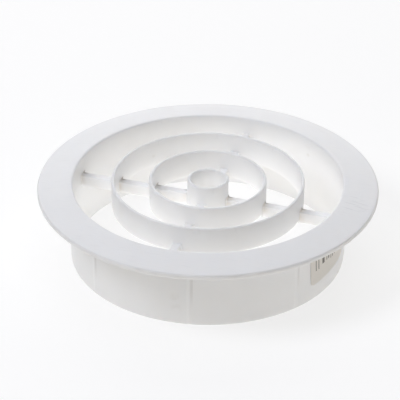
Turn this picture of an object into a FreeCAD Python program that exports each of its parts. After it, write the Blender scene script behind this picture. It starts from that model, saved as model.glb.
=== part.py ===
"""Round vent cover: a moulded collar with a dished flange, and hoops inside it on a cross of spokes.

The collar's bottom rim stands on the ground plane, its axis is Z, and the spokes lie along X and Y.
Lengths are in millimetres, angles in degrees.
"""
import FreeCAD
import Part
import os
import Sketcher

# Driving sizes
SIZES = {
    # the collar, and the duct that it slips into
    "duct_diameter": 125.0,
    "duct_clearance": 0.5,
    "collar_wall": 1.8,
    "mouth_height": 36.0,
    # the flange: a shallow cone with a rim turned down at its edge
    "flange_width": 14.0,
    "flange_rise": 1.8,
    "flange_thickness": 1.7,
    "rim_width": 2.0,
    "rim_drop": 0.5,
    "rim_edge_radius": 0.8,
    "rim_corner_radius": 0.4,
    "mouth_edge_radius": 0.8,
    # the hub tube and the two hoops round it, which stand a little proud of the mouth
    "hub_diameter": 18.5,
    "inner_gap": 15.45,
    "middle_gap": 15.4,
    "hoop_wall": 1.5,
    "hoop_height": 13.9,
    "hoop_proud": 0.4,
    "hoop_edge_radius": 0.65,
    # the spokes, level with the hoops' lower edges
    "spoke_count": 4,
    "spoke_width": 3.6,
    "spoke_height": 5.3,
    # the low ribs that centre the collar in its duct
    "rib_count": 8,
    "rib_proud": 0.2,
    "rib_roundness": 3.8,
    "rib_angle": 10.5,
    # the paper label on the collar's outside, half way up the collar
    "label_width": 30.0,
    "label_height": 20.0,
    "label_thickness": 0.1,
    "label_corner_radius": 2.0,
    "label_rib_gap": 9.0,
}

# A rounded edge takes at most this share of the wall that it rounds
EDGE_SHARE = 0.48

# Radii, heights and angles that follow from the driving sizes
DERIVED = {
    "collar_radius": "=duct_diameter / 2 - duct_clearance",
    "mouth_radius": "=collar_radius - collar_wall",
    "flange_radius": "=collar_radius + flange_width",
    "rim_start_radius": "=flange_radius - rim_width",
    "flange_slope": "=flange_rise / (flange_radius - mouth_radius)",
    "rim_top": "=mouth_height - flange_rise",
    "underside_at_collar": "=mouth_height - flange_slope * collar_wall - flange_thickness",
    "underside_at_rim": "=rim_top + flange_slope * rim_width - flange_thickness",
    "rim_base": "=underside_at_rim - rim_drop",
    "rim_edge_round": f"=min(rim_edge_radius; {EDGE_SHARE} * flange_thickness)",
    "rim_corner_round": f"=min(rim_corner_radius; {EDGE_SHARE} * rim_width)",
    "mouth_edge_round": f"=min(mouth_edge_radius; {EDGE_SHARE} * collar_wall)",
    "hub_radius": "=hub_diameter / 2",
    "hub_bore_radius": "=hub_radius - hoop_wall",
    "inner_hoop_bore": "=hub_radius + inner_gap",
    "inner_hoop_radius": "=inner_hoop_bore + hoop_wall",
    "outer_hoop_bore": "=inner_hoop_radius + middle_gap",
    "outer_hoop_radius": "=outer_hoop_bore + hoop_wall",
    "hoop_top": "=mouth_height + hoop_proud",
    "hoop_base": "=hoop_top - hoop_height",
    "hoop_edge_round": f"=min(hoop_edge_radius; {EDGE_SHARE} * hoop_wall)",
    "spoke_start": "=hub_radius - hoop_wall / 2",
    "spoke_end": "=mouth_radius + collar_wall / 2",
    "spoke_left": "=-spoke_width / 2",
    "spoke_right": "=spoke_width / 2",
    "rib_centre": "=collar_radius + rib_proud - rib_roundness",
    "rib_root": "=collar_radius - collar_wall / 2",
    "rib_length": "=underside_at_collar + flange_thickness / 2",
    "rib_half_width": "=sqrt(2 * rib_roundness * rib_proud)",
    "label_radius": "=collar_radius + label_thickness",
    "label_base": "=(underside_at_collar - label_height) / 2",
    "label_top": "=label_base + label_height",
    "label_sweep": "=label_width / collar_radius * 180 / pi",
    "label_from_rib": "=(rib_half_width + label_rib_gap) / collar_radius * 180 / pi",
    "label_angle": "=rib_angle - label_from_rib - label_sweep / 2",
    "label_corner_round": f"=min(label_corner_radius; {EDGE_SHARE} * label_height)",
}

BASE = None
SAME = 1e-4
FULL_TURN = 360.0
UP = FreeCAD.Vector(0, 0, 1)

doc = FreeCAD.newDocument("round_vent_cover")


def size_sheet():
    """Writes the driving sizes as numbers and the derived ones as formulas, each cell under its alias."""
    cells = doc.addObject("Spreadsheet::Sheet", "sizes")
    for row, (alias, content) in enumerate({**SIZES, **DERIVED}.items(), start=1):
        cells.set(f"A{row}", alias)
        cells.set(f"B{row}", str(content))
        cells.setAlias(f"B{row}", alias)
    doc.recompute()
    return cells


sheet = size_sheet()


def size(alias):
    """The present value of one cell; BASE is the ground line."""
    return 0.0 if alias is BASE else float(getattr(sheet, alias))


def bind(item, target, alias):
    """Ties a property or a sketch constraint to a cell."""
    item.setExpression(target, f"sizes.{alias}")


def turned_about_axis(alias):
    """A placement that is turned about Z by the angle in one cell."""
    return FreeCAD.Placement(FreeCAD.Vector(), FreeCAD.Rotation(UP, size(alias)))


def new_body(label):
    body = doc.addObject("PartDesign::Body", label)
    body.Label = label
    return body


def new_sketch(body, name, role):
    """A sketch on one of the body's own origin planes."""
    sketch = body.newObject("Sketcher::SketchObject", name)
    plane = next(item for item in body.Origin.OriginFeatures if item.Role == role)
    sketch.AttachmentSupport = [(plane, "")]
    sketch.MapMode = "FlatFace"
    return sketch


def hold_corner(sketch, line, across, up):
    """Fixes a line's start by its distances from the sketch's axes."""
    for kind, alias, axis in (("DistanceX", across, -2), ("DistanceY", up, -1)):
        if alias is BASE:
            sketch.addConstraint(Sketcher.Constraint("PointOnObject", line, 1, axis))
            continue
        index = sketch.addConstraint(Sketcher.Constraint(kind, -1, 1, line, 1, size(alias)))
        bind(sketch, f"Constraints[{index}]", alias)


def outline(sketch, corners):
    """A closed outline of straight edges; each corner is a pair of cells, across and up."""
    first = sketch.GeometryCount
    points = [FreeCAD.Vector(size(across), size(up), 0) for across, up in corners]
    for point, following in zip(points, points[1:] + points[:1]):
        sketch.addGeometry(Part.LineSegment(point, following), False)
    for step in range(len(corners)):
        following = first + (step + 1) % len(corners)
        sketch.addConstraint(Sketcher.Constraint("Coincident", first + step, 2, following, 1))
    for step, (across, up) in enumerate(corners):
        hold_corner(sketch, first + step, across, up)


def rectangle(sketch, left, right, low, high):
    outline(sketch, [(left, low), (right, low), (right, high), (left, high)])


def revolve(body, name, sketch):
    """A full turn of a section about the part's axis."""
    turned = body.newObject("PartDesign::Revolution", name)
    turned.Profile = sketch
    turned.ReferenceAxis = (sketch, ["V_Axis"])
    turned.Angle = FULL_TURN
    doc.recompute()
    return turned


def pad(body, name, sketch, length):
    raised = body.newObject("PartDesign::Pad", name)
    raised.Profile = sketch
    bind(raised, "Length", length)
    doc.recompute()
    return raised


def repeat_round_axis(body, name, feature, sketch, count):
    pattern = body.newObject("PartDesign::PolarPattern", name)
    pattern.Originals = [feature]
    pattern.Axis = (sketch, ["N_Axis"])
    pattern.Angle = FULL_TURN
    bind(pattern, "Occurrences", count)
    body.Tip = pattern
    doc.recompute()
    return pattern


def round_edges(body, name, radius, wanted):
    """Rounds every edge of the body that the test wanted picks out."""
    base = body.Tip
    edges = [f"Edge{number}" for number, edge in enumerate(base.Shape.Edges, start=1) if wanted(edge)]
    rounded = body.newObject("PartDesign::Fillet", name)
    rounded.Base = (base, edges)
    bind(rounded, "Radius", radius)
    doc.recompute()
    print(name, "rounds", len(edges), "edges")
    return rounded


def circle_at(edge, radius, height):
    """True for a circular edge of one radius at one height."""
    if not isinstance(edge.Curve, Part.Circle):
        return False
    level = abs(edge.Curve.Center.z - size(height)) < SAME
    return level and abs(edge.Curve.Radius - size(radius)) < SAME


def collar_and_flange(body):
    """One section turned round the axis: the straight collar, the dished flange and its turned-down rim."""
    section = new_sketch(body, "shell_section", "XZ_Plane")
    outline(section, [
        ("mouth_radius", BASE),
        ("collar_radius", BASE),
        ("collar_radius", "underside_at_collar"),
        ("rim_start_radius", "underside_at_rim"),
        ("rim_start_radius", "rim_base"),
        ("flange_radius", "rim_base"),
        ("flange_radius", "rim_top"),
        ("mouth_radius", "mouth_height"),
    ])
    revolve(body, "shell", section)


def spokes(body):
    """One bar from the hub's wall into the collar's wall, repeated round the axis."""
    section = new_sketch(body, "spoke_plan", "XY_Plane")
    rectangle(section, "spoke_left", "spoke_right", "spoke_start", "spoke_end")
    bind(section, "AttachmentOffset.Base.z", "hoop_base")
    bar = pad(body, "spoke", section, "spoke_height")
    repeat_round_axis(body, "spoke_cross", bar, section, "spoke_count")


def hub_and_hoops(body):
    """Three thin-walled hoops, a little proud of the flange's mouth."""
    section = new_sketch(body, "hoop_sections", "XZ_Plane")
    for bore, outside in (
        ("hub_bore_radius", "hub_radius"),
        ("inner_hoop_bore", "inner_hoop_radius"),
        ("outer_hoop_bore", "outer_hoop_radius"),
    ):
        rectangle(section, bore, outside, "hoop_base", "hoop_top")
    revolve(body, "hoops", section)


def collar_ribs(body):
    """A low rounded rib up the collar's outside, its root inside the wall, repeated round the axis."""
    section = new_sketch(body, "rib_plan", "XY_Plane")
    centre = FreeCAD.Vector(0, size("rib_centre"), 0)
    rise = size("rib_root") - size("rib_centre")
    half_root = (size("rib_roundness") ** 2 - rise ** 2) ** 0.5
    right = FreeCAD.Vector(half_root, size("rib_root"), 0)
    left = FreeCAD.Vector(-half_root, size("rib_root"), 0)
    crest = centre + FreeCAD.Vector(0, size("rib_roundness"), 0)
    arc = section.addGeometry(Part.Arc(right, crest, left), False)
    root = section.addGeometry(Part.LineSegment(left, right), False)
    section.addConstraint(Sketcher.Constraint("Coincident", arc, 2, root, 1))
    section.addConstraint(Sketcher.Constraint("Coincident", root, 2, arc, 1))
    section.addConstraint(Sketcher.Constraint("Horizontal", root))
    section.addConstraint(Sketcher.Constraint("PointOnObject", arc, 3, -2))
    radius = section.addConstraint(Sketcher.Constraint("Radius", arc, size("rib_roundness")))
    bind(section, f"Constraints[{radius}]", "rib_roundness")
    for geometry, point, alias in ((arc, 3, "rib_centre"), (root, 1, "rib_root")):
        held = section.addConstraint(Sketcher.Constraint("DistanceY", -1, 1, geometry, point, size(alias)))
        bind(section, f"Constraints[{held}]", alias)
    section.AttachmentOffset = turned_about_axis("rib_angle")
    bind(section, "AttachmentOffset.Rotation.Angle", "rib_angle")
    rib = pad(body, "rib", section, "rib_length")
    repeat_round_axis(body, "ribs", rib, section, "rib_count")


def moulded_edges(body):
    """The rounded edges of the flange, its mouth and the hoops' tops."""
    round_edges(body, "rim_edge", "rim_edge_round", lambda edge: circle_at(edge, "flange_radius", "rim_top"))
    round_edges(body, "rim_corner", "rim_corner_round",
                lambda edge: circle_at(edge, "flange_radius", "rim_base"))
    round_edges(body, "mouth_edge", "mouth_edge_round",
                lambda edge: circle_at(edge, "mouth_radius", "mouth_height"))
    hoop_radii = ("hub_bore_radius", "hub_radius", "inner_hoop_bore", "inner_hoop_radius",
                  "outer_hoop_bore", "outer_hoop_radius")
    round_edges(body, "hoop_edges", "hoop_edge_round",
                lambda edge: any(circle_at(edge, radius, "hoop_top") for radius in hoop_radii))


def vent_cover():
    body = new_body("vent_cover")
    collar_and_flange(body)
    spokes(body)
    hub_and_hoops(body)
    collar_ribs(body)
    moulded_edges(body)
    return body


def paper_label():
    """A thin slip of paper with rounded corners that lies on the collar."""
    body = new_body("paper_label")
    section = new_sketch(body, "label_section", "XZ_Plane")
    rectangle(section, "collar_radius", "label_radius", "label_base", "label_top")
    slip = revolve(body, "slip", section)
    slip.Midplane = True
    bind(slip, "Angle", "label_sweep")
    doc.recompute()
    round_edges(body, "label_corners", "label_corner_round",
                lambda edge: isinstance(edge.Curve, Part.Line)
                and abs(edge.Length - size("label_thickness")) < SAME)
    body.Placement = turned_about_axis("label_angle")
    bind(body, "Placement.Rotation.Angle", "label_angle")
    doc.recompute()
    return body


def check(pieces):
    """Stops on any failed object, and on a piece that is not one valid solid."""
    for item in doc.Objects:
        if "Invalid" in item.State or "Error" in item.State:
            raise RuntimeError(f"{item.Name} failed: {item.State}")
    for piece in pieces:
        shape = piece.Shape
        if shape.isNull() or not shape.isValid() or len(shape.Solids) != 1:
            raise RuntimeError(f"{piece.Label} is not one valid solid")
        box = shape.optimalBoundingBox(False, False)
        spans = " x ".join(f"{span:.2f}" for span in (box.XLength, box.YLength, box.ZLength))
        print(f"{piece.Label}: {shape.Volume:.1f} mm3, {spans} mm")


pieces = [vent_cover(), paper_label()]
doc.recompute()
check(pieces)
os.makedirs("parts", exist_ok=True)
for piece in pieces:
    piece.Shape.exportStep(f"parts/{piece.Label}.step")
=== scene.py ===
# %% [markdown]
# # A round vent cover, dressed for its portrait
# The object is a white moulded cover for the end of a round air duct. A collar slips into the duct, a
# dished flange lies against the wall, and a grille of hoops on a cross of spokes fills the mouth. Its
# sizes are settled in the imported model, so the lesson starts by loading that model as a fixed frame.
# Every mesh below is made in the same frame, in metres, with the collar standing on the ground plane and
# its axis along Z.

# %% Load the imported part
import math

import bmesh
import bpy
from mathutils import Matrix, Vector


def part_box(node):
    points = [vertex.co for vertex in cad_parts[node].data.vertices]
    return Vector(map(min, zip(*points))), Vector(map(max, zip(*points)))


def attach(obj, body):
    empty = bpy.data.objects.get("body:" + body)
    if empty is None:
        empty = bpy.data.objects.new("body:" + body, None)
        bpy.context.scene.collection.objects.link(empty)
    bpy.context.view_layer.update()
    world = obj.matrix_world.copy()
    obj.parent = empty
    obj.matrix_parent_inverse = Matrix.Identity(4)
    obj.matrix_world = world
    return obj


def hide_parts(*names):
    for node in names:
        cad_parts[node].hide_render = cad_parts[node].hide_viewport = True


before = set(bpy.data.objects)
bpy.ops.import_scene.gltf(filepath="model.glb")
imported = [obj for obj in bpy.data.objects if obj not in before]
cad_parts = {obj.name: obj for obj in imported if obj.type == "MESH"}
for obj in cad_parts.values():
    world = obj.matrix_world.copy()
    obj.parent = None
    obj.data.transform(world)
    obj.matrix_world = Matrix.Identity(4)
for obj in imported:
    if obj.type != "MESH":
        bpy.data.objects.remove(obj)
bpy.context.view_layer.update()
MM = 0.001
cover_low, cover_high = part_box("vent_cover")
print("nodes:", sorted(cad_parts), "cover height, mm:", round(cover_high.z / MM, 2))

# %% [markdown]
# ## The camera
# The photograph looks down at the flange from about 30 degrees, turned a little round the axis, through a
# long lens. A camera can be aimed by hand until things look right, but the flange and the hoops are all
# circles, so their ellipses in the picture give its place. It looks at the flange's centre and is then
# turned by three small angles, because the object isn't quite in the middle of the picture.

# %% Place the camera
FLANGE_EDGE_TOP = 34.2 * MM
CAMERA_DISTANCE = 760 * MM
CAMERA_AZIMUTH = math.radians(17.5)
CAMERA_ELEVATION = math.radians(30.24)
CAMERA_PAN = math.radians(0.262)
CAMERA_TILT = math.radians(-0.592)
CAMERA_ROLL = math.radians(0.393)
PICTURE_PIXELS = 400
FOCAL_PIXELS = 1703
SENSOR_MM = 36

camera_data = bpy.data.cameras.new("portrait_camera")
camera_data.sensor_width = SENSOR_MM
camera_data.lens = SENSOR_MM * FOCAL_PIXELS / PICTURE_PIXELS
camera = bpy.data.objects.new("portrait_camera", camera_data)
bpy.context.collection.objects.link(camera)
bpy.context.scene.camera = camera

level = math.cos(CAMERA_ELEVATION)
towards_camera = Vector((
    math.sin(CAMERA_AZIMUTH) * level,
    -math.cos(CAMERA_AZIMUTH) * level,
    math.sin(CAMERA_ELEVATION),
))
camera.location = Vector((0, 0, FLANGE_EDGE_TOP)) + towards_camera * CAMERA_DISTANCE
straight = (-towards_camera).to_track_quat("-Z", "Y").to_matrix()
nudge = Matrix.Rotation(CAMERA_PAN, 3, "Y") @ Matrix.Rotation(CAMERA_TILT, 3, "X")
nudge = nudge @ Matrix.Rotation(CAMERA_ROLL, 3, "Z")
camera.rotation_euler = (straight @ nudge).to_euler()
bpy.context.scene.view_settings.view_transform = "Standard"
print("lens, mm:", round(camera_data.lens, 1))

# %% [markdown]
# ## The floor
# The cover stands on a white light table that runs out of the picture on all sides. A plain sheet is
# enough, and its finish does the work: matt paint takes the soft shadow, and a clean white is added to
# it. Light Path keeps that white to what the camera sees, directly or as a reflection, so it puts no
# light on the cover. The sheet stops no light from below. The pale glow of the table, which the world
# stands for, reaches the collar's inside as it does on the real one. Small helpers come first. They add a
# node and feed its inputs, so that each material can be read from top to bottom.

# %% Helpers for node materials
def new_material(name):
    """A material with an empty node tree."""
    material = bpy.data.materials.new(name)
    material.use_nodes = True
    material.node_tree.nodes.clear()
    return material


def feed(tree, socket, value):
    """Links an input to another node's output, or sets it to a number or a colour."""
    if isinstance(value, bpy.types.NodeSocket):
        tree.links.new(value, socket)
    else:
        socket.default_value = value


def add_node(tree, kind, settings=None, **sockets):
    """Adds a shader node, sets its options and feeds its inputs; an underscore stands for a space."""
    made = tree.nodes.new("ShaderNode" + kind)
    for option, value in (settings or {}).items():
        setattr(made, option, value)
    for name, value in sockets.items():
        feed(tree, made.inputs[name.replace("_", " ")], value)
    return made


def math_node(operation, first, second=0.0):
    """One Math node of the tree in hand; each input is a number or an output."""
    made = add_node(tree, "Math", {"operation": operation})
    feed(tree, made.inputs[0], first)
    feed(tree, made.inputs[1], second)
    return made.outputs[0]


# %% Lay the floor
FLOOR_HALF = 4.0
TABLE_TONE = (0.383, 0.381, 0.378, 1)
TABLE_SHINE = 0.675
WHITE = (1, 1, 1, 1)

floor_paint = new_material("white_table")
tree = floor_paint.node_tree
seen = add_node(tree, "LightPath")
direct_or_mirrored = math_node("MAXIMUM", seen.outputs["Is Camera Ray"], seen.outputs["Is Glossy Ray"])
shine = math_node("MULTIPLY", direct_or_mirrored, TABLE_SHINE)
matt = add_node(tree, "BsdfDiffuse", Color=TABLE_TONE)
white = add_node(tree, "Emission", Color=WHITE, Strength=shine)
both = add_node(tree, "AddShader")
feed(tree, both.inputs[0], matt.outputs[0])
feed(tree, both.inputs[1], white.outputs[0])
add_node(tree, "OutputMaterial", Surface=both.outputs[0])

floor_mesh = bpy.data.meshes.new("floor")
sheet = bmesh.new()
bmesh.ops.create_grid(sheet, x_segments=2, y_segments=2, size=FLOOR_HALF)
sheet.to_mesh(floor_mesh)
sheet.free()
floor = bpy.data.objects.new("floor", floor_mesh)
bpy.context.collection.objects.link(floor)
floor_mesh.materials.append(floor_paint)
floor.visible_diffuse = False
floor.visible_shadow = False
floor.visible_transmission = False
print("floor, m:", 2 * FLOOR_HALF)

# %% [markdown]
# ## The studio light
# The inner walls on the right are the bright ones and the shadow falls to the right, so the main softbox
# stands on the left, with a weak one on the right. Two panels at the back light the far side of the
# flange, one overhead reaches down to the low spokes, a wide weak one fills in from the front, and a low
# one on the right lights the label's side. The table glows from below. One strong lamp would be simpler,
# but it leaves the grille's inside dark, and there the photograph is bright. All lamps stay weak enough
# that white plastic keeps below pure white.

# %% Hang the lamps
def panel(name, azimuth, elevation, size, brightness, colour):
    """A flat lamp that faces the cover. Azimuth is counted from the camera's side, to the right."""
    lamp = bpy.data.lights.new(name, "AREA")
    lamp.shape = "RECTANGLE"
    lamp.size, lamp.size_y = size
    lamp.energy = math.pi * size[0] * size[1] * brightness
    lamp.color = colour
    turn = CAMERA_AZIMUTH + math.radians(azimuth)
    rise = math.radians(elevation)
    way = Vector((math.sin(turn) * math.cos(rise), -math.cos(turn) * math.cos(rise), math.sin(rise)))
    stand = bpy.data.objects.new(name, lamp)
    stand.location = way * LAMP_DISTANCE
    stand.rotation_euler = (-way).to_track_quat("-Z", "Y").to_euler()
    stand.visible_camera = False
    bpy.context.collection.objects.link(stand)
    print(name, "power, W:", round(lamp.energy, 1))


LAMP_DISTANCE = 1.3
NEUTRAL = (1, 1, 1)
COOL = (0.91, 0.926, 1)
PALE_COOL = (0.966, 0.981, 1)
PALE_WARM = (1, 0.982, 0.965)
panel("main_softbox", azimuth=-70, elevation=48, size=(0.5, 0.5), brightness=8.0, colour=COOL)
panel("second_softbox", azimuth=68, elevation=46, size=(0.3, 0.3), brightness=0.95, colour=NEUTRAL)
panel("low_back_panel", azimuth=180, elevation=15, size=(1.9, 0.65), brightness=1.92, colour=PALE_WARM)
panel("high_back_panel", azimuth=180, elevation=45, size=(1.4, 0.7), brightness=1.15, colour=PALE_COOL)
panel("front_panel", azimuth=0, elevation=45, size=(1.4, 0.7), brightness=0.93, colour=PALE_WARM)
panel("overhead_panel", azimuth=0, elevation=89, size=(1.2, 1.2), brightness=0.95, colour=COOL)
panel("low_right_panel", azimuth=105, elevation=6, size=(1.2, 0.4), brightness=1.2, colour=PALE_WARM)

# %% Light the table from below
TABLE_GLOW = 0.85
GLOW_TONE = (1, 0.985, 0.96, 1)
BOUNCE_RADIUS = 56 * MM
BOUNCE_HEIGHT = 0.5 * MM
BOUNCE_BRIGHTNESS = 0.385
WARM = (1, 0.95, 0.88)

world = bpy.data.worlds.new("studio")
bpy.context.scene.world = world
world.use_nodes = True
tree = world.node_tree
tree.nodes.clear()
seen = add_node(tree, "LightPath")
direction = add_node(tree, "SeparateXYZ", Vector=add_node(tree, "TexCoord").outputs["Generated"])
from_below = math_node("LESS_THAN", direction.outputs["Z"], 0.0)
glow = math_node("MULTIPLY", from_below, TABLE_GLOW)
room = add_node(tree, "Background", Color=GLOW_TONE, Strength=glow)
backdrop = add_node(tree, "Background", Color=WHITE, Strength=1.0)
choose = add_node(tree, "MixShader")
feed(tree, choose.inputs[0], seen.outputs["Is Camera Ray"])
feed(tree, choose.inputs[1], room.outputs[0])
feed(tree, choose.inputs[2], backdrop.outputs[0])
add_node(tree, "OutputWorld", Surface=choose.outputs[0])

bounce_data = bpy.data.lights.new("table_bounce", "AREA")
bounce_data.shape = "DISK"
bounce_data.size = 2 * BOUNCE_RADIUS
bounce_data.energy = (math.pi * BOUNCE_RADIUS) ** 2 * BOUNCE_BRIGHTNESS
bounce_data.color = WARM
bounce = bpy.data.objects.new("table_bounce", bounce_data)
bounce.location = (0, 0, BOUNCE_HEIGHT)
bounce.rotation_euler = (math.pi, 0, 0)
bounce.visible_camera = False
bpy.context.collection.objects.link(bounce)
print("table glow:", TABLE_GLOW, "bounce power, W:", round(bounce_data.energy, 4))

# %% [markdown]
# ## Turned shapes
# The collar with its flange, the two hoops and the hub are all turned shapes: one section swept round the
# axis. A Screw modifier would do that, but spinning the section in bmesh leaves a real mesh that can be
# welded later. Moulded plastic has no knife edges, so the section's corners are rounded first, each by
# its own small radius.

# %% Round a section's corners and spin it
ARC_STEPS = 5


def rounded_section(corners):
    """Points of a closed outline; each corner is (across, up, rounding), in millimetres."""
    points = []
    for index, (across, up, rounding) in enumerate(corners):
        here = Vector((across, up))
        back = (Vector(corners[index - 1][:2]) - here).normalized()
        on = (Vector(corners[(index + 1) % len(corners)][:2]) - here).normalized()
        half = back.angle(on) / 2
        reach = rounding / math.tan(half)
        centre = here + (back + on).normalized() * rounding / math.sin(half)
        first = here + back * reach - centre
        last = here + on * reach - centre
        for step in range(ARC_STEPS + 1):
            points.append(centre + first.lerp(last, step / ARC_STEPS).normalized() * rounding)
    return points


def spin(solid, corners, steps):
    """Adds a turned shape to a bmesh."""
    ring = [solid.verts.new((point.x * MM, 0, point.y * MM)) for point in rounded_section(corners)]
    edges = [solid.edges.new(pair) for pair in zip(ring, ring[1:] + ring[:1])]
    bmesh.ops.spin(solid, geom=ring + edges, cent=(0, 0, 0), axis=(0, 0, 1), angle=math.tau,
                   steps=steps, use_merge=True)


def finished(name, solid):
    """Turns a bmesh into an object with its faces pointing out."""
    bmesh.ops.recalc_face_normals(solid, faces=solid.faces)
    mesh = bpy.data.meshes.new(name)
    solid.to_mesh(mesh)
    solid.free()
    made = bpy.data.objects.new(name, mesh)
    bpy.context.collection.objects.link(made)
    print(name, "faces:", len(mesh.polygons))
    return made


# %% [markdown]
# ## Collar and flange
# The collar is a plain tube. The flange is a shallow cone that falls 1.8 mm from the mouth to its edge,
# where a narrow rim turns down and bears on the wall. Both are one wall of plastic, so they are one
# section.

# %% Spin the collar and flange
COLLAR_RADIUS = 62.0
MOUTH_RADIUS = 60.2
FLANGE_RADIUS = cover_high.x / MM
MOUTH_TOP = 36.0
RIM_START = 74.0
RIM_TOP = 34.2
RIM_BASE = 32.23
UNDER_AT_COLLAR = 34.1
UNDER_AT_RIM = 32.73
FOOT_ROUNDING_IN = 0.25
FOOT_ROUNDING_OUT = 0.35
ROOT_ROUNDING = 0.5
STEP_ROUNDING = 0.2
RIM_INNER_ROUNDING = 0.15
RIM_BASE_ROUNDING = 0.4
RIM_ROUNDING = 0.8
MOUTH_ROUNDING = 0.8
SHELL_STEPS = 288

shell_mesh = bmesh.new()
spin(shell_mesh, [
    (MOUTH_RADIUS, 0, FOOT_ROUNDING_IN),
    (COLLAR_RADIUS, 0, FOOT_ROUNDING_OUT),
    (COLLAR_RADIUS, UNDER_AT_COLLAR, ROOT_ROUNDING),
    (RIM_START, UNDER_AT_RIM, STEP_ROUNDING),
    (RIM_START, RIM_BASE, RIM_INNER_ROUNDING),
    (FLANGE_RADIUS, RIM_BASE, RIM_BASE_ROUNDING),
    (FLANGE_RADIUS, RIM_TOP, RIM_ROUNDING),
    (MOUTH_RADIUS, MOUTH_TOP, MOUTH_ROUNDING),
], SHELL_STEPS)
moulding = finished("vent_moulding", shell_mesh)

# %% [markdown]
# ## Hub and hoops
# The hub is a short open tube and the hoops are two larger ones, all of the same wall and height. Their
# tops stand a little proud of the mouth. Their edges are well rounded on top, so they catch no hard line
# of light, and are crisper below, where the two halves of the mould meet. Three spins of one small
# section make all of them.

# %% Spin the hub and the hoops
HOOP_BASE = 24.0
HOOP_TOP = cover_high.z / MM
HOOP_BORES = (7.75, 24.7, 41.6)
HOOP_WALL = 1.5
HOOP_ROUNDING = 0.65
HOOP_BASE_ROUNDING = 0.05
HOOP_STEPS = (96, 144, 216)

hoop_mesh = bmesh.new()
for bore, steps in zip(HOOP_BORES, HOOP_STEPS):
    spin(hoop_mesh, [
        (bore, HOOP_BASE, HOOP_BASE_ROUNDING),
        (bore + HOOP_WALL, HOOP_BASE, HOOP_BASE_ROUNDING),
        (bore + HOOP_WALL, HOOP_TOP, HOOP_ROUNDING),
        (bore, HOOP_TOP, HOOP_ROUNDING),
    ], steps)
hoops = finished("hoops", hoop_mesh)

# %% [markdown]
# ## Spokes
# Four low bars join the hub, the hoops and the collar. They reach a little lower than the hoops, so the
# hoops sit in the cross. A box would have sharp roots where it meets the walls. Each bar is drawn as a
# row of rounded sections instead, which swell towards its two ends, so that it grows out of the walls as
# a moulded bar does.

# %% Draw one length of a spoke
SPOKE_HALF = 1.8
SPOKE_BASE = 22.53
SPOKE_TOP = 27.8
SPOKE_EDGE = 0.35
SPOKE_BASE_EDGE = 0.12
SPOKE_ROOT = 0.6
ROOT_STEPS = 5
SUNK = 0.4


def root_swell(distance):
    """How far the bar has swollen at a distance from a wall: a quarter circle, full inside the wall."""
    left = min(max(SPOKE_ROOT - distance, 0), SPOKE_ROOT)
    return SPOKE_ROOT - math.sqrt(SPOKE_ROOT ** 2 - left ** 2)


def bar_section(swell):
    """Points round the bar's section, across and up; only its sides and top swell."""
    half = SPOKE_HALF + swell
    top = SPOKE_TOP + swell
    return rounded_section([
        (-half, SPOKE_BASE, SPOKE_BASE_EDGE),
        (half, SPOKE_BASE, SPOKE_BASE_EDGE),
        (half, top, SPOKE_EDGE),
        (-half, top, SPOKE_EDGE),
    ])


def cover_rings(solid, rings):
    """Joins a row of rings with faces and closes both ends."""
    for ring, following in zip(rings, rings[1:]):
        for index in range(len(ring)):
            solid.faces.new((ring[index - 1], ring[index], following[index], following[index - 1]))
    solid.faces.new(rings[0])
    solid.faces.new(rings[-1])


def spoke_length(solid, start, end, turn):
    """Adds the bar between two walls' faces, at a turn about the axis."""
    offsets = [SPOKE_ROOT * step / ROOT_STEPS for step in range(ROOT_STEPS + 1)]
    stations = [start - SUNK] + [start + offset for offset in offsets]
    stations += [end - offset for offset in reversed(offsets)] + [end + SUNK]
    rings = []
    for station in stations:
        swell = max(root_swell(station - start), root_swell(end - station))
        spots = [turn @ Vector((station, point.x, point.y)) for point in bar_section(swell)]
        rings.append([solid.verts.new(spot * MM) for spot in spots])
    cover_rings(solid, rings)


# %% Set the spokes round the hub
SPOKE_COUNT = 4
inner_faces = [bore + HOOP_WALL for bore in HOOP_BORES]
outer_faces = list(HOOP_BORES[1:]) + [MOUTH_RADIUS]

spoke_mesh = bmesh.new()
for number in range(SPOKE_COUNT):
    turn = Matrix.Rotation(math.tau * number / SPOKE_COUNT, 3, "Z")
    for start, end in zip(inner_faces, outer_faces):
        spoke_length(spoke_mesh, start, end, turn)
spokes = finished("spokes", spoke_mesh)

# %% [markdown]
# ## Ribs on the collar
# Eight low rounded ribs run up the collar's outside. They take up the play in the duct, and they fade out
# at the foot so that the collar starts easily. A bump texture would show in the render but not in the
# outline, so they are real: a shallow arc is carried up the wall and pressed in at its lower end.

# %% Draw the ribs
RIB_COUNT = 8
RIB_TURN = 10.5
RIB_PROUD = 0.2
RIB_ROUNDNESS = 3.8
RIB_HALF = 1.6
RIB_ACROSS = 8
RIB_HEIGHTS = (0.4, 0.8, 1.4, 2.2, 3.0, 12.0, 23.0, 34.6)
RIB_LEAD = 3.0
RIB_SUNK = 0.9


def rib(solid, turn):
    """Adds one rib; its back lies inside the collar's wall."""
    rings = []
    for height in RIB_HEIGHTS:
        pressed = RIB_PROUD * (1 - min(height / RIB_LEAD, 1)) ** 2
        crest = COLLAR_RADIUS + RIB_PROUD - pressed
        front = []
        for step in range(RIB_ACROSS + 1):
            across = RIB_HALF * (2 * step / RIB_ACROSS - 1)
            out = crest - RIB_ROUNDNESS + math.sqrt(RIB_ROUNDNESS ** 2 - across ** 2)
            front.append(Vector((across, out, height)))
        back = [Vector((side * RIB_HALF, COLLAR_RADIUS - RIB_SUNK, height)) for side in (1, -1)]
        rings.append([solid.verts.new((turn @ spot) * MM) for spot in front + back])
    cover_rings(solid, rings)


rib_mesh = bmesh.new()
for number in range(RIB_COUNT):
    rib(rib_mesh, Matrix.Rotation(math.radians(RIB_TURN) + math.tau * number / RIB_COUNT, 3, "Z"))
ribs = finished("ribs", rib_mesh)

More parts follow.
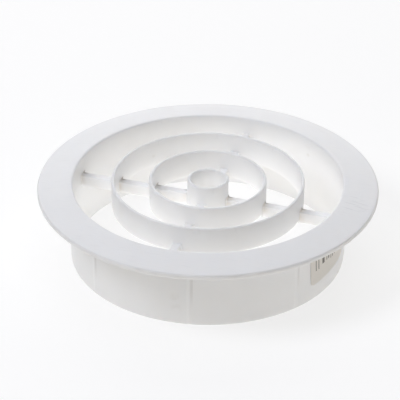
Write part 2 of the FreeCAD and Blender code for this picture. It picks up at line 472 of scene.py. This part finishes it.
# %% [markdown]
# ## One shot of plastic
# The real cover comes out of the mould in one piece, so the shapes are welded with Boolean unions into
# one closed skin. Edges that turn by more than 35 degrees stay crisp and all others are shaded smooth. A
# Weighted Normal modifier keeps the flat faces flat beside their rounded edges.

# %% Weld the shapes
SHARP_ANGLE = math.radians(35)
CUBIC_CM = 1e-6


def weld(base, others):
    """Unites shapes into one mesh and removes the ones that went into it."""
    for other in others:
        union = base.modifiers.new("weld_" + other.name, "BOOLEAN")
        union.operation = "UNION"
        union.solver = "EXACT"
        union.object = other
    shaped = base.evaluated_get(bpy.context.evaluated_depsgraph_get())
    welded = bpy.data.meshes.new_from_object(shaped)
    base.modifiers.clear()
    base.data = welded
    for other in others:
        bpy.data.objects.remove(other)


weld(moulding, [hoops, spokes, ribs])
moulding.data.shade_smooth()
moulding.data.set_sharp_from_angle(angle=SHARP_ANGLE)
even = moulding.modifiers.new("even_shading", "WEIGHTED_NORMAL")
even.keep_sharp = True

look = bmesh.new()
look.from_mesh(moulding.data)
open_edges = sum(1 for edge in look.edges if not edge.is_manifold)
print("moulding faces:", len(look.faces), "open edges:", open_edges, "volume, cm3:",
      round(look.calc_volume() / CUBIC_CM, 2))
look.free()

# %% [markdown]
# ## Dust, painted shade and marks
# A used cover isn't clean. Dark spots lie on the +Y side of the two level spokes, most of them in the
# corners where they meet the walls: dust, with painted shade where the walls shade the spokes. The
# spokes' roots carry stains with painted shade as well. There are a few finger marks, and fine scuffs
# on the flange. An image could hold all this, but masks worked out from the object's own coordinates
# stay sharp and need no unwrapping. Each mask below is a small node chain that runs from 0 to 1.

# %% Start the plastic and measure places in millimetres
plastic = new_material("white_plastic")
tree = plastic.node_tree
place = add_node(tree, "TexCoord").outputs["Object"]
place_mm = add_node(tree, "VectorMath", {"operation": "SCALE"}, Vector=place, Scale=1 / MM).outputs[0]
axes = add_node(tree, "SeparateXYZ", Vector=place_mm).outputs
x_mm, y_mm, z_mm = axes["X"], axes["Y"], axes["Z"]


def fade(value, full, none):
    """1 where the value has reached full, 0 from none on, and a soft step between them."""
    made = add_node(tree, "MapRange", {"interpolation_type": "SMOOTHSTEP"}, Value=value,
                    From_Min=none, From_Max=full)
    return made.outputs[0]


def overlap(*masks):
    """Where all the masks hold."""
    held = masks[0]
    for mask in masks[1:]:
        held = math_node("MULTIPLY", held, mask)
    return held


def speckle(scale, detail):
    """Noise on the surface, from 0 to 1; a larger scale makes it finer."""
    return add_node(tree, "TexNoise", Vector=place, Scale=scale, Detail=detail).outputs["Fac"]


# %% Mask the dust and painted shade in the spokes' corners
DUST_SHADE_CORE = 0.4
DUST_SHADE_REACH = 2.0
DUST_SHADE_OFF_WALL = 0.6
DUST_SHADE_STRETCH = 0.75
DUST_SHADE_SQUASH = 2.2
FAR_OFF = 99.0

along = math_node("ABSOLUTE", x_mm)
to_wall = FAR_OFF
for wall in inner_faces + outer_faces:
    to_wall = math_node("MINIMUM", math_node("ABSOLUTE", math_node("SUBTRACT", along, wall)), to_wall)
beside = math_node("SUBTRACT", y_mm, SPOKE_HALF)
over = math_node("SUBTRACT", z_mm, SPOKE_TOP)
off_wall = math_node("MULTIPLY", math_node("SUBTRACT", to_wall, DUST_SHADE_OFF_WALL), DUST_SHADE_STRETCH)
lifted = math_node("MULTIPLY", over, DUST_SHADE_SQUASH)
corner = add_node(tree, "CombineXYZ", X=off_wall, Y=beside, Z=lifted).outputs[0]
from_corner = add_node(tree, "VectorMath", {"operation": "LENGTH"}, Vector=corner).outputs["Value"]
patches = speckle(scale=420.0, detail=3.0)
# Dust with painted shade in the corners where the walls shade the spokes' tops.
dust_and_shade = overlap(fade(from_corner, DUST_SHADE_CORE, DUST_SHADE_REACH), fade(patches, full=0.5, none=0.1))
print("plastic nodes after the dust:", len(tree.nodes))

# %% Mask the stains and painted shade at the spokes' roots
ROOT_STAIN_SHADE_CORE = 0.2
ROOT_STAIN_SHADE_REACH = 3.2

by_spoke = fade(math_node("ABSOLUTE", y_mm), SPOKE_HALF + 0.3, SPOKE_HALF + 1.6)
not_above = fade(z_mm, SPOKE_TOP + 0.4, SPOKE_TOP + 1.4)
not_below = fade(z_mm, SPOKE_BASE + 2.0, SPOKE_BASE)
not_outside = fade(along, MOUTH_RADIUS + 0.3, MOUTH_RADIUS + 1.0)
root = overlap(fade(to_wall, ROOT_STAIN_SHADE_CORE, ROOT_STAIN_SHADE_REACH), by_spoke, not_above, not_below, not_outside)
clouds = speckle(scale=95.0, detail=2.0)
# Brownish stain with painted shade where the spokes meet the walls.
root_stain_and_shade = overlap(root, fade(clouds, full=0.62, none=0.38))
print("plastic nodes after the stains:", len(tree.nodes))

# %% Mask the finger marks and the scuffs
# Each mark has a middle, a reach and a weight.
FINGER_MARKS = (
    ((5.0, -61.8, 13.4), 3.2, 0.5),
    ((5.5, -61.8, 7.8), 3.4, 0.5),
    ((-33.8, 23.6, 29.2), 1.5, 1.0),
    ((32.9, 50.4, 31.0), 2.0, 1.0),
    ((33.1, 50.3, 27.3), 1.4, 1.0),
)
SCUFFED_SPOT = (68.0, -2.0, 35.0)
SCUFF_REACH = 13.0
SCUFF_ELSEWHERE = 0.16
SCUFF_TURN = math.radians(-38)
SCUFF_FINENESS = (140, 1500, 140)


def near(spot, reach):
    """Fades out from a spot on the surface."""
    gap = add_node(tree, "VectorMath", {"operation": "DISTANCE"})
    feed(tree, gap.inputs[0], place_mm)
    feed(tree, gap.inputs[1], spot)
    return fade(gap.outputs["Value"], 0.25 * reach, reach)


marks = 0.0
for spot, reach, weight in FINGER_MARKS:
    marks = math_node("MAXIMUM", math_node("MULTIPLY", near(spot, reach), weight), marks)
smears = speckle(scale=260.0, detail=3.0)
marks = overlap(marks, fade(smears, full=0.6, none=0.35))

slanted = add_node(tree, "Mapping", Vector=place, Rotation=(0, 0, SCUFF_TURN), Scale=SCUFF_FINENESS)
streaks = add_node(tree, "TexNoise", Vector=slanted.outputs[0], Scale=1.0, Detail=2.0).outputs["Fac"]
on_top = fade(z_mm, RIM_TOP - 0.2, RIM_TOP - 1.0)
spread = math_node("MAXIMUM", near(SCUFFED_SPOT, SCUFF_REACH), SCUFF_ELSEWHERE)
scuffs = overlap(fade(streaks, full=0.68, none=0.58), spread, on_top)
print("plastic nodes after the scuffs:", len(tree.nodes))

# %% [markdown]
# ## Painted light on the ribs and the rim
# A painted highlight runs up one flank of each rib and a painted shade along the other, as the light
# from the left falls on them, and a painted shade darkens the flange's edge. A mask for every rib would
# take eight times the nodes. Here the way round the collar is cut into eight equal lengths, so one
# stripe at an offset from a rib's middle shows on all of them.

# %% Mask the ribs' painted highlight and shade and the rim's painted shade
STRIPE_CORE = 0.3
RIB_HIGHLIGHT_OFFSET = -0.6
RIB_HIGHLIGHT_REACH = 1.0
RIB_SHADE_OFFSET = 0.95
RIB_SHADE_REACH = 0.8
SIDE_SHADE_PATCHES = 0.25

level_place = add_node(tree, "CombineXYZ", X=x_mm, Y=y_mm).outputs[0]
from_axis = add_node(tree, "VectorMath", {"operation": "LENGTH"}, Vector=level_place).outputs["Value"]
on_outside = fade(from_axis, COLLAR_RADIUS - 0.1, COLLAR_RADIUS - 0.5)
not_flange = fade(z_mm, UNDER_AT_RIM - 2.0, UNDER_AT_RIM - 1.0)
outer_wall = overlap(on_outside, not_flange)
rib_spacing = math.tau * COLLAR_RADIUS / RIB_COUNT
arc = math_node("MULTIPLY", math_node("ARCTAN2", y_mm, x_mm), COLLAR_RADIUS)
first_rib = math.radians(RIB_TURN) * COLLAR_RADIUS
turned = math_node("ADD", arc, (RIB_COUNT + 0.5) * rib_spacing - first_rib)
from_rib = math_node("SUBTRACT", math_node("MODULO", turned, rib_spacing), rib_spacing / 2)


def along_ribs(offset, reach):
    """A stripe up every rib's flank, at an offset from the middle of the rib."""
    stripe = fade(math_node("ABSOLUTE", math_node("SUBTRACT", from_rib, offset)), STRIPE_CORE, reach)
    return overlap(stripe, outer_wall)


# Painted highlight on the flank that faces the light; painted shade on the other flank, darker higher up.
painted_rib_highlight = along_ribs(RIB_HIGHLIGHT_OFFSET, RIB_HIGHLIGHT_REACH)
painted_rib_shade = overlap(along_ribs(RIB_SHADE_OFFSET, RIB_SHADE_REACH), fade(z_mm, full=20.0, none=6.0))
# Painted shade on the rim's side face, in uneven patches, joined below with the ribs' painted shade.
rim_side = fade(from_axis, FLANGE_RADIUS - 0.35, FLANGE_RADIUS - 0.9)
shade_patchiness = fade(speckle(scale=120.0, detail=3.0), full=0.6, none=0.3)
uneven = math_node("ADD", math_node("MULTIPLY", shade_patchiness, SIDE_SHADE_PATCHES), 1 - SIDE_SHADE_PATCHES)
painted_side_shade = overlap(rim_side, uneven)
painted_side_shade = math_node("MAXIMUM", painted_side_shade, painted_rib_shade)
print("plastic nodes after the grime:", len(tree.nodes))

# %% [markdown]
# ## Thick parts, brightened with painted light
# Thick plastic lets less light through, so the spokes and the collar's root under the flange look whiter.
# Scattering alone leaves them too dark in the render, so a mask picks them out, and a whiter tone is laid
# over them later as painted light.

# %% Mask the thick parts for painted light
THICK_ROOT = 11.0

on_collar = overlap(on_outside, fade(from_axis, COLLAR_RADIUS + 0.3, COLLAR_RADIUS + 1.5))
under_flange = fade(z_mm, UNDER_AT_COLLAR - 0.4, UNDER_AT_COLLAR + 0.2)
near_root = fade(z_mm, UNDER_AT_COLLAR - 1.5, UNDER_AT_COLLAR - THICK_ROOT)
thick_root = overlap(under_flange, near_root, on_collar)

from_middle = math_node("MINIMUM", along, math_node("ABSOLUTE", y_mm))
in_cross = fade(from_middle, SPOKE_HALF + 0.2, SPOKE_HALF + 0.8)
under_top = fade(z_mm, SPOKE_TOP - 0.6, SPOKE_TOP + 0.4)
over_base = fade(z_mm, SPOKE_BASE, SPOKE_BASE - 0.3)
in_mouth = fade(from_axis, MOUTH_RADIUS - 0.3, MOUTH_RADIUS + 0.2)
off_hub = fade(from_axis, inner_faces[0] - 0.2, inner_faces[0] - 0.6)
bars = overlap(in_cross, under_top, over_base, in_mouth, off_hub)
# Where a whiter tone is painted on as painted light.
thick_part_light = math_node("MAXIMUM", thick_root, bars)
print("plastic nodes after the masks:", len(tree.nodes))

# %% [markdown]
# ## White plastic
# The plastic is a satin white that lets some light through, so thin walls glow. A faint mottle comes from
# the melt's flow. The mould leaves a fine grain, and cooling leaves slight waves. Colour, roughness and
# bump all vary, as one flat colour would look like paint. The masks are laid over the colour one by one.

# %% Mix the white plastic
PLASTIC_LIGHT = (0.855, 0.858, 0.86, 1)
PLASTIC_DARK = (0.815, 0.818, 0.822, 1)
# Dark tone for dust with painted shade in the spokes' corners.
DUST_AND_SHADE_TONE = (0.36, 0.33, 0.29, 1)
# Tone for the stains with painted shade at the spokes' roots.
STAIN_AND_SHADE_TONE = (0.62, 0.55, 0.46, 1)
MARK_TONE = (0.62, 0.60, 0.56, 1)
SCUFF_TONE = (0.60, 0.61, 0.64, 1)
# Painted light: the ribs' highlight and the thick parts' brightening.
PAINTED_LIGHT_TONE = (0.93, 0.93, 0.93, 1)
# Tone of the painted shade on the rim's side and the ribs' shaded flanks.
SIDE_SHADE_TONE = (0.62, 0.61, 0.60, 1)


def blend(share, base, over):
    """Mixes two colours by the share of the second; each is a tone or another node's output."""
    made = add_node(tree, "Mix", {"data_type": "RGBA"})
    feed(tree, made.inputs["Factor"], share)
    feed(tree, made.inputs[6], base)
    feed(tree, made.inputs[7], over)
    return made.outputs[2]


# Painted light and shade sit in these layers: the rib highlight, the thick parts' brightening and the
# side shade in full, the stain and dust layers in part.
layers = (
    (painted_rib_highlight, 0.35, PAINTED_LIGHT_TONE),
    (thick_part_light, 0.8, PAINTED_LIGHT_TONE),
    (painted_side_shade, 0.4, SIDE_SHADE_TONE),
    (root_stain_and_shade, 0.28, STAIN_AND_SHADE_TONE),
    (marks, 0.3, MARK_TONE),
    (scuffs, 0.5, SCUFF_TONE),
    (dust_and_shade, 0.68, DUST_AND_SHADE_TONE),
)
flow = add_node(tree, "TexNoise", Vector=place, Scale=70.0, Detail=4.0, Roughness=0.55)
colour = blend(flow.outputs["Fac"], PLASTIC_DARK, PLASTIC_LIGHT)
for mask, strength, tone in layers:
    colour = blend(math_node("MULTIPLY", mask, strength), colour, tone)
print("plastic layers:", len(layers))

# %% Give the plastic its grain and sheen
GRAIN_DEPTH = 0.2 * MM
WAVE_DEPTH = 1.0 * MM
SHINIEST = 0.36
DULLEST = 0.5
DULL_DIRT = 0.3
PLASTIC_IOR = 1.49
SCATTER_DEPTH = 3 * MM
SCATTER_TINT = (1.0, 0.96, 0.92)

fine = speckle(scale=1800.0, detail=2.0)
coarse = speckle(scale=55.0, detail=1.0)
cloudy = speckle(scale=160.0, detail=3.0)
grain = add_node(tree, "Bump", Strength=0.06, Distance=GRAIN_DEPTH, Height=fine)
waves = add_node(tree, "Bump", Strength=0.05, Distance=WAVE_DEPTH, Height=coarse,
                 Normal=grain.outputs[0])
sheen = add_node(tree, "MapRange", Value=cloudy, To_Min=SHINIEST, To_Max=DULLEST)
dulled = math_node("MULTIPLY", math_node("MAXIMUM", scuffs, dust_and_shade), DULL_DIRT)
dullness = math_node("ADD", sheen.outputs[0], dulled)
skin = add_node(tree, "BsdfPrincipled", Base_Color=colour, Roughness=dullness,
                Normal=waves.outputs[0], IOR=PLASTIC_IOR, Subsurface_Weight=1.0,
                Subsurface_Radius=SCATTER_TINT, Subsurface_Scale=SCATTER_DEPTH)
add_node(tree, "OutputMaterial", Surface=skin.outputs[0])
moulding.data.materials.clear()
moulding.data.materials.append(plastic)
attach(moulding, "root")
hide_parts("vent_cover")
print("plastic nodes:", len(tree.nodes))

# %% [markdown]
# ## The paper label
# A small paper label with rounded corners is stuck round the collar. It is a curved sheet a tenth of a
# millimetre thick, made as a grid in the collar's own angle and height, so it lies on the wall all over.
# It was stuck on by hand, a few degrees askew. A map in millimetres is stored on it for the print.

# %% Set out the label
LABEL_WIDTH = 30.0
LABEL_HEIGHT = 20.0
LABEL_THICKNESS = 0.1
LABEL_RADIUS = COLLAR_RADIUS + LABEL_THICKNESS
LABEL_CORNER = 2.0
LABEL_RIB_GAP = 9.0
LABEL_ASKEW = math.radians(4)
RIB_EDGE = math.sqrt(2 * RIB_ROUNDNESS * RIB_PROUD)
LABEL_START = math.radians(RIB_TURN) - (RIB_EDGE + LABEL_RIB_GAP + LABEL_WIDTH) / COLLAR_RADIUS
LABEL_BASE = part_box("paper_label")[0].z / MM
LABEL_ROWS = 16
LABEL_COLUMNS = 60


def corner_cut(across):
    """How much a rounded corner takes off the label's height at a place across it."""
    into = abs(across - LABEL_WIDTH / 2) - (LABEL_WIDTH / 2 - LABEL_CORNER)
    return 0 if into <= 0 else LABEL_CORNER - math.sqrt(max(LABEL_CORNER ** 2 - into ** 2, 0))


print("label from, degrees:", round(math.degrees(LABEL_START), 1), "base, mm:", round(LABEL_BASE, 2))

# %% Bend its outer face round the collar
pivot = Vector((0, LABEL_HEIGHT / 2))
label_mesh = bmesh.new()
print_map = label_mesh.loops.layers.uv.new("label_mm")
flat_place = {}
grid = []
for step in range(LABEL_COLUMNS + 1):
    across = LABEL_WIDTH * step / LABEL_COLUMNS
    cut = corner_cut(across)
    column = []
    for row in range(LABEL_ROWS + 1):
        up = cut + (LABEL_HEIGHT - 2 * cut) * row / LABEL_ROWS
        askew = pivot + Matrix.Rotation(LABEL_ASKEW, 2) @ (Vector((across, up)) - pivot)
        angle = LABEL_START + askew.x / COLLAR_RADIUS
        outward = Vector((LABEL_RADIUS * math.cos(angle), LABEL_RADIUS * math.sin(angle), 0))
        spot = outward + Vector((0, 0, LABEL_BASE + askew.y))
        corner = label_mesh.verts.new(spot * MM)
        flat_place[corner] = (across, up)
        column.append(corner)
    grid.append(column)
for left, right in zip(grid, grid[1:]):
    for row in range(LABEL_ROWS):
        face = label_mesh.faces.new((left[row], right[row], right[row + 1], left[row + 1]))
        for loop in face.loops:
            loop[print_map].uv = flat_place[loop.vert]
print("label's outer faces:", len(label_mesh.faces))

# %% Give the paper its thickness
inward = COLLAR_RADIUS / LABEL_RADIUS
backing = bmesh.ops.extrude_face_region(label_mesh, geom=list(label_mesh.faces), use_keep_orig=True)
for item in backing["geom"]:
    if isinstance(item, bmesh.types.BMVert):
        item.co.x *= inward
        item.co.y *= inward
label = finished("collar_label", label_mesh)

# %% [markdown]
# ## The label's print
# The real label carries a printed code. Here its place holds plain bars that stand for no number: some
# thin, some thick, with a pair at each end and four in the middle running a little lower. An image of
# bars would blur close up. Each bar is one Compare node on the label's map, so the print is as sharp as
# the paper's edge.

# %% Print plain bars on the paper
LONG_BARS = (
    (3.5, 0.5), (5.4, 0.5), (15.3, 0.5), (16.9, 0.6),
    (18.9, 0.5), (20.7, 0.6), (25.7, 0.55), (27.1, 0.55),
)
SHORT_BARS = ((8.9, 1.7), (11.7, 0.6), (13.3, 0.9), (22.9, 1.5))
LONG_FOOT = 6.6
SHORT_FOOT = 7.8
BARS_TOP = 18.2

paper = new_material("label_paper")
tree = paper.node_tree
flat = add_node(tree, "UVMap", {"uv_map": "label_mm"}).outputs[0]
split = add_node(tree, "SeparateXYZ", Vector=flat)


def printed(bars, foot):
    """1 on the bars of one length, each given by its middle and its width."""
    inked = 0.0
    for middle, width in bars:
        bar = add_node(tree, "Math", {"operation": "COMPARE"})
        feed(tree, bar.inputs[0], split.outputs["X"])
        feed(tree, bar.inputs[1], middle)
        feed(tree, bar.inputs[2], width / 2)
        inked = math_node("MAXIMUM", bar.outputs[0], inked)
    above = math_node("GREATER_THAN", split.outputs["Y"], foot)
    below = math_node("LESS_THAN", split.outputs["Y"], BARS_TOP)
    return overlap(inked, above, below)


ink = math_node("MAXIMUM", printed(LONG_BARS, LONG_FOOT), printed(SHORT_BARS, SHORT_FOOT))
print("bars:", len(LONG_BARS) + len(SHORT_BARS))

# %% [markdown]
# ## The paper
# Label paper is a warm white with a faint fibre, and its print is a little worn. A scanned sheet would
# need an image. One noise gives the paper its two tones and its slight nap instead, and a coarser one
# thins the ink.

# %% Mix the paper
PAPER_TONE = (0.89, 0.85, 0.79, 1)
FIBRE_TONE = (0.93, 0.90, 0.85, 1)
INK_TONE = (0.07, 0.055, 0.05, 1)
INK_STRENGTH = 0.8
PAPER_DULLNESS = 0.8
NAP_DEPTH = 0.1 * MM

fibre = add_node(tree, "TexNoise", Vector=flat, Scale=3.0, Detail=6.0).outputs["Fac"]
wear = add_node(tree, "TexNoise", Vector=flat, Scale=1.4, Detail=4.0).outputs["Fac"]
ink = math_node("MULTIPLY", overlap(ink, fade(wear, full=0.35, none=0.2)), INK_STRENGTH)
paper_colour = blend(ink, blend(fibre, PAPER_TONE, FIBRE_TONE), INK_TONE)
nap = add_node(tree, "Bump", Strength=0.1, Distance=NAP_DEPTH, Height=fibre)
matt_paper = add_node(tree, "BsdfPrincipled", Base_Color=paper_colour, Roughness=PAPER_DULLNESS,
                      Normal=nap.outputs[0])
add_node(tree, "OutputMaterial", Surface=matt_paper.outputs[0])
print("paper nodes:", len(tree.nodes))
label.data.shade_smooth()
label.data.set_sharp_from_angle(angle=SHARP_ANGLE)
label.data.materials.append(paper)
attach(label, "root")
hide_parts("paper_label")
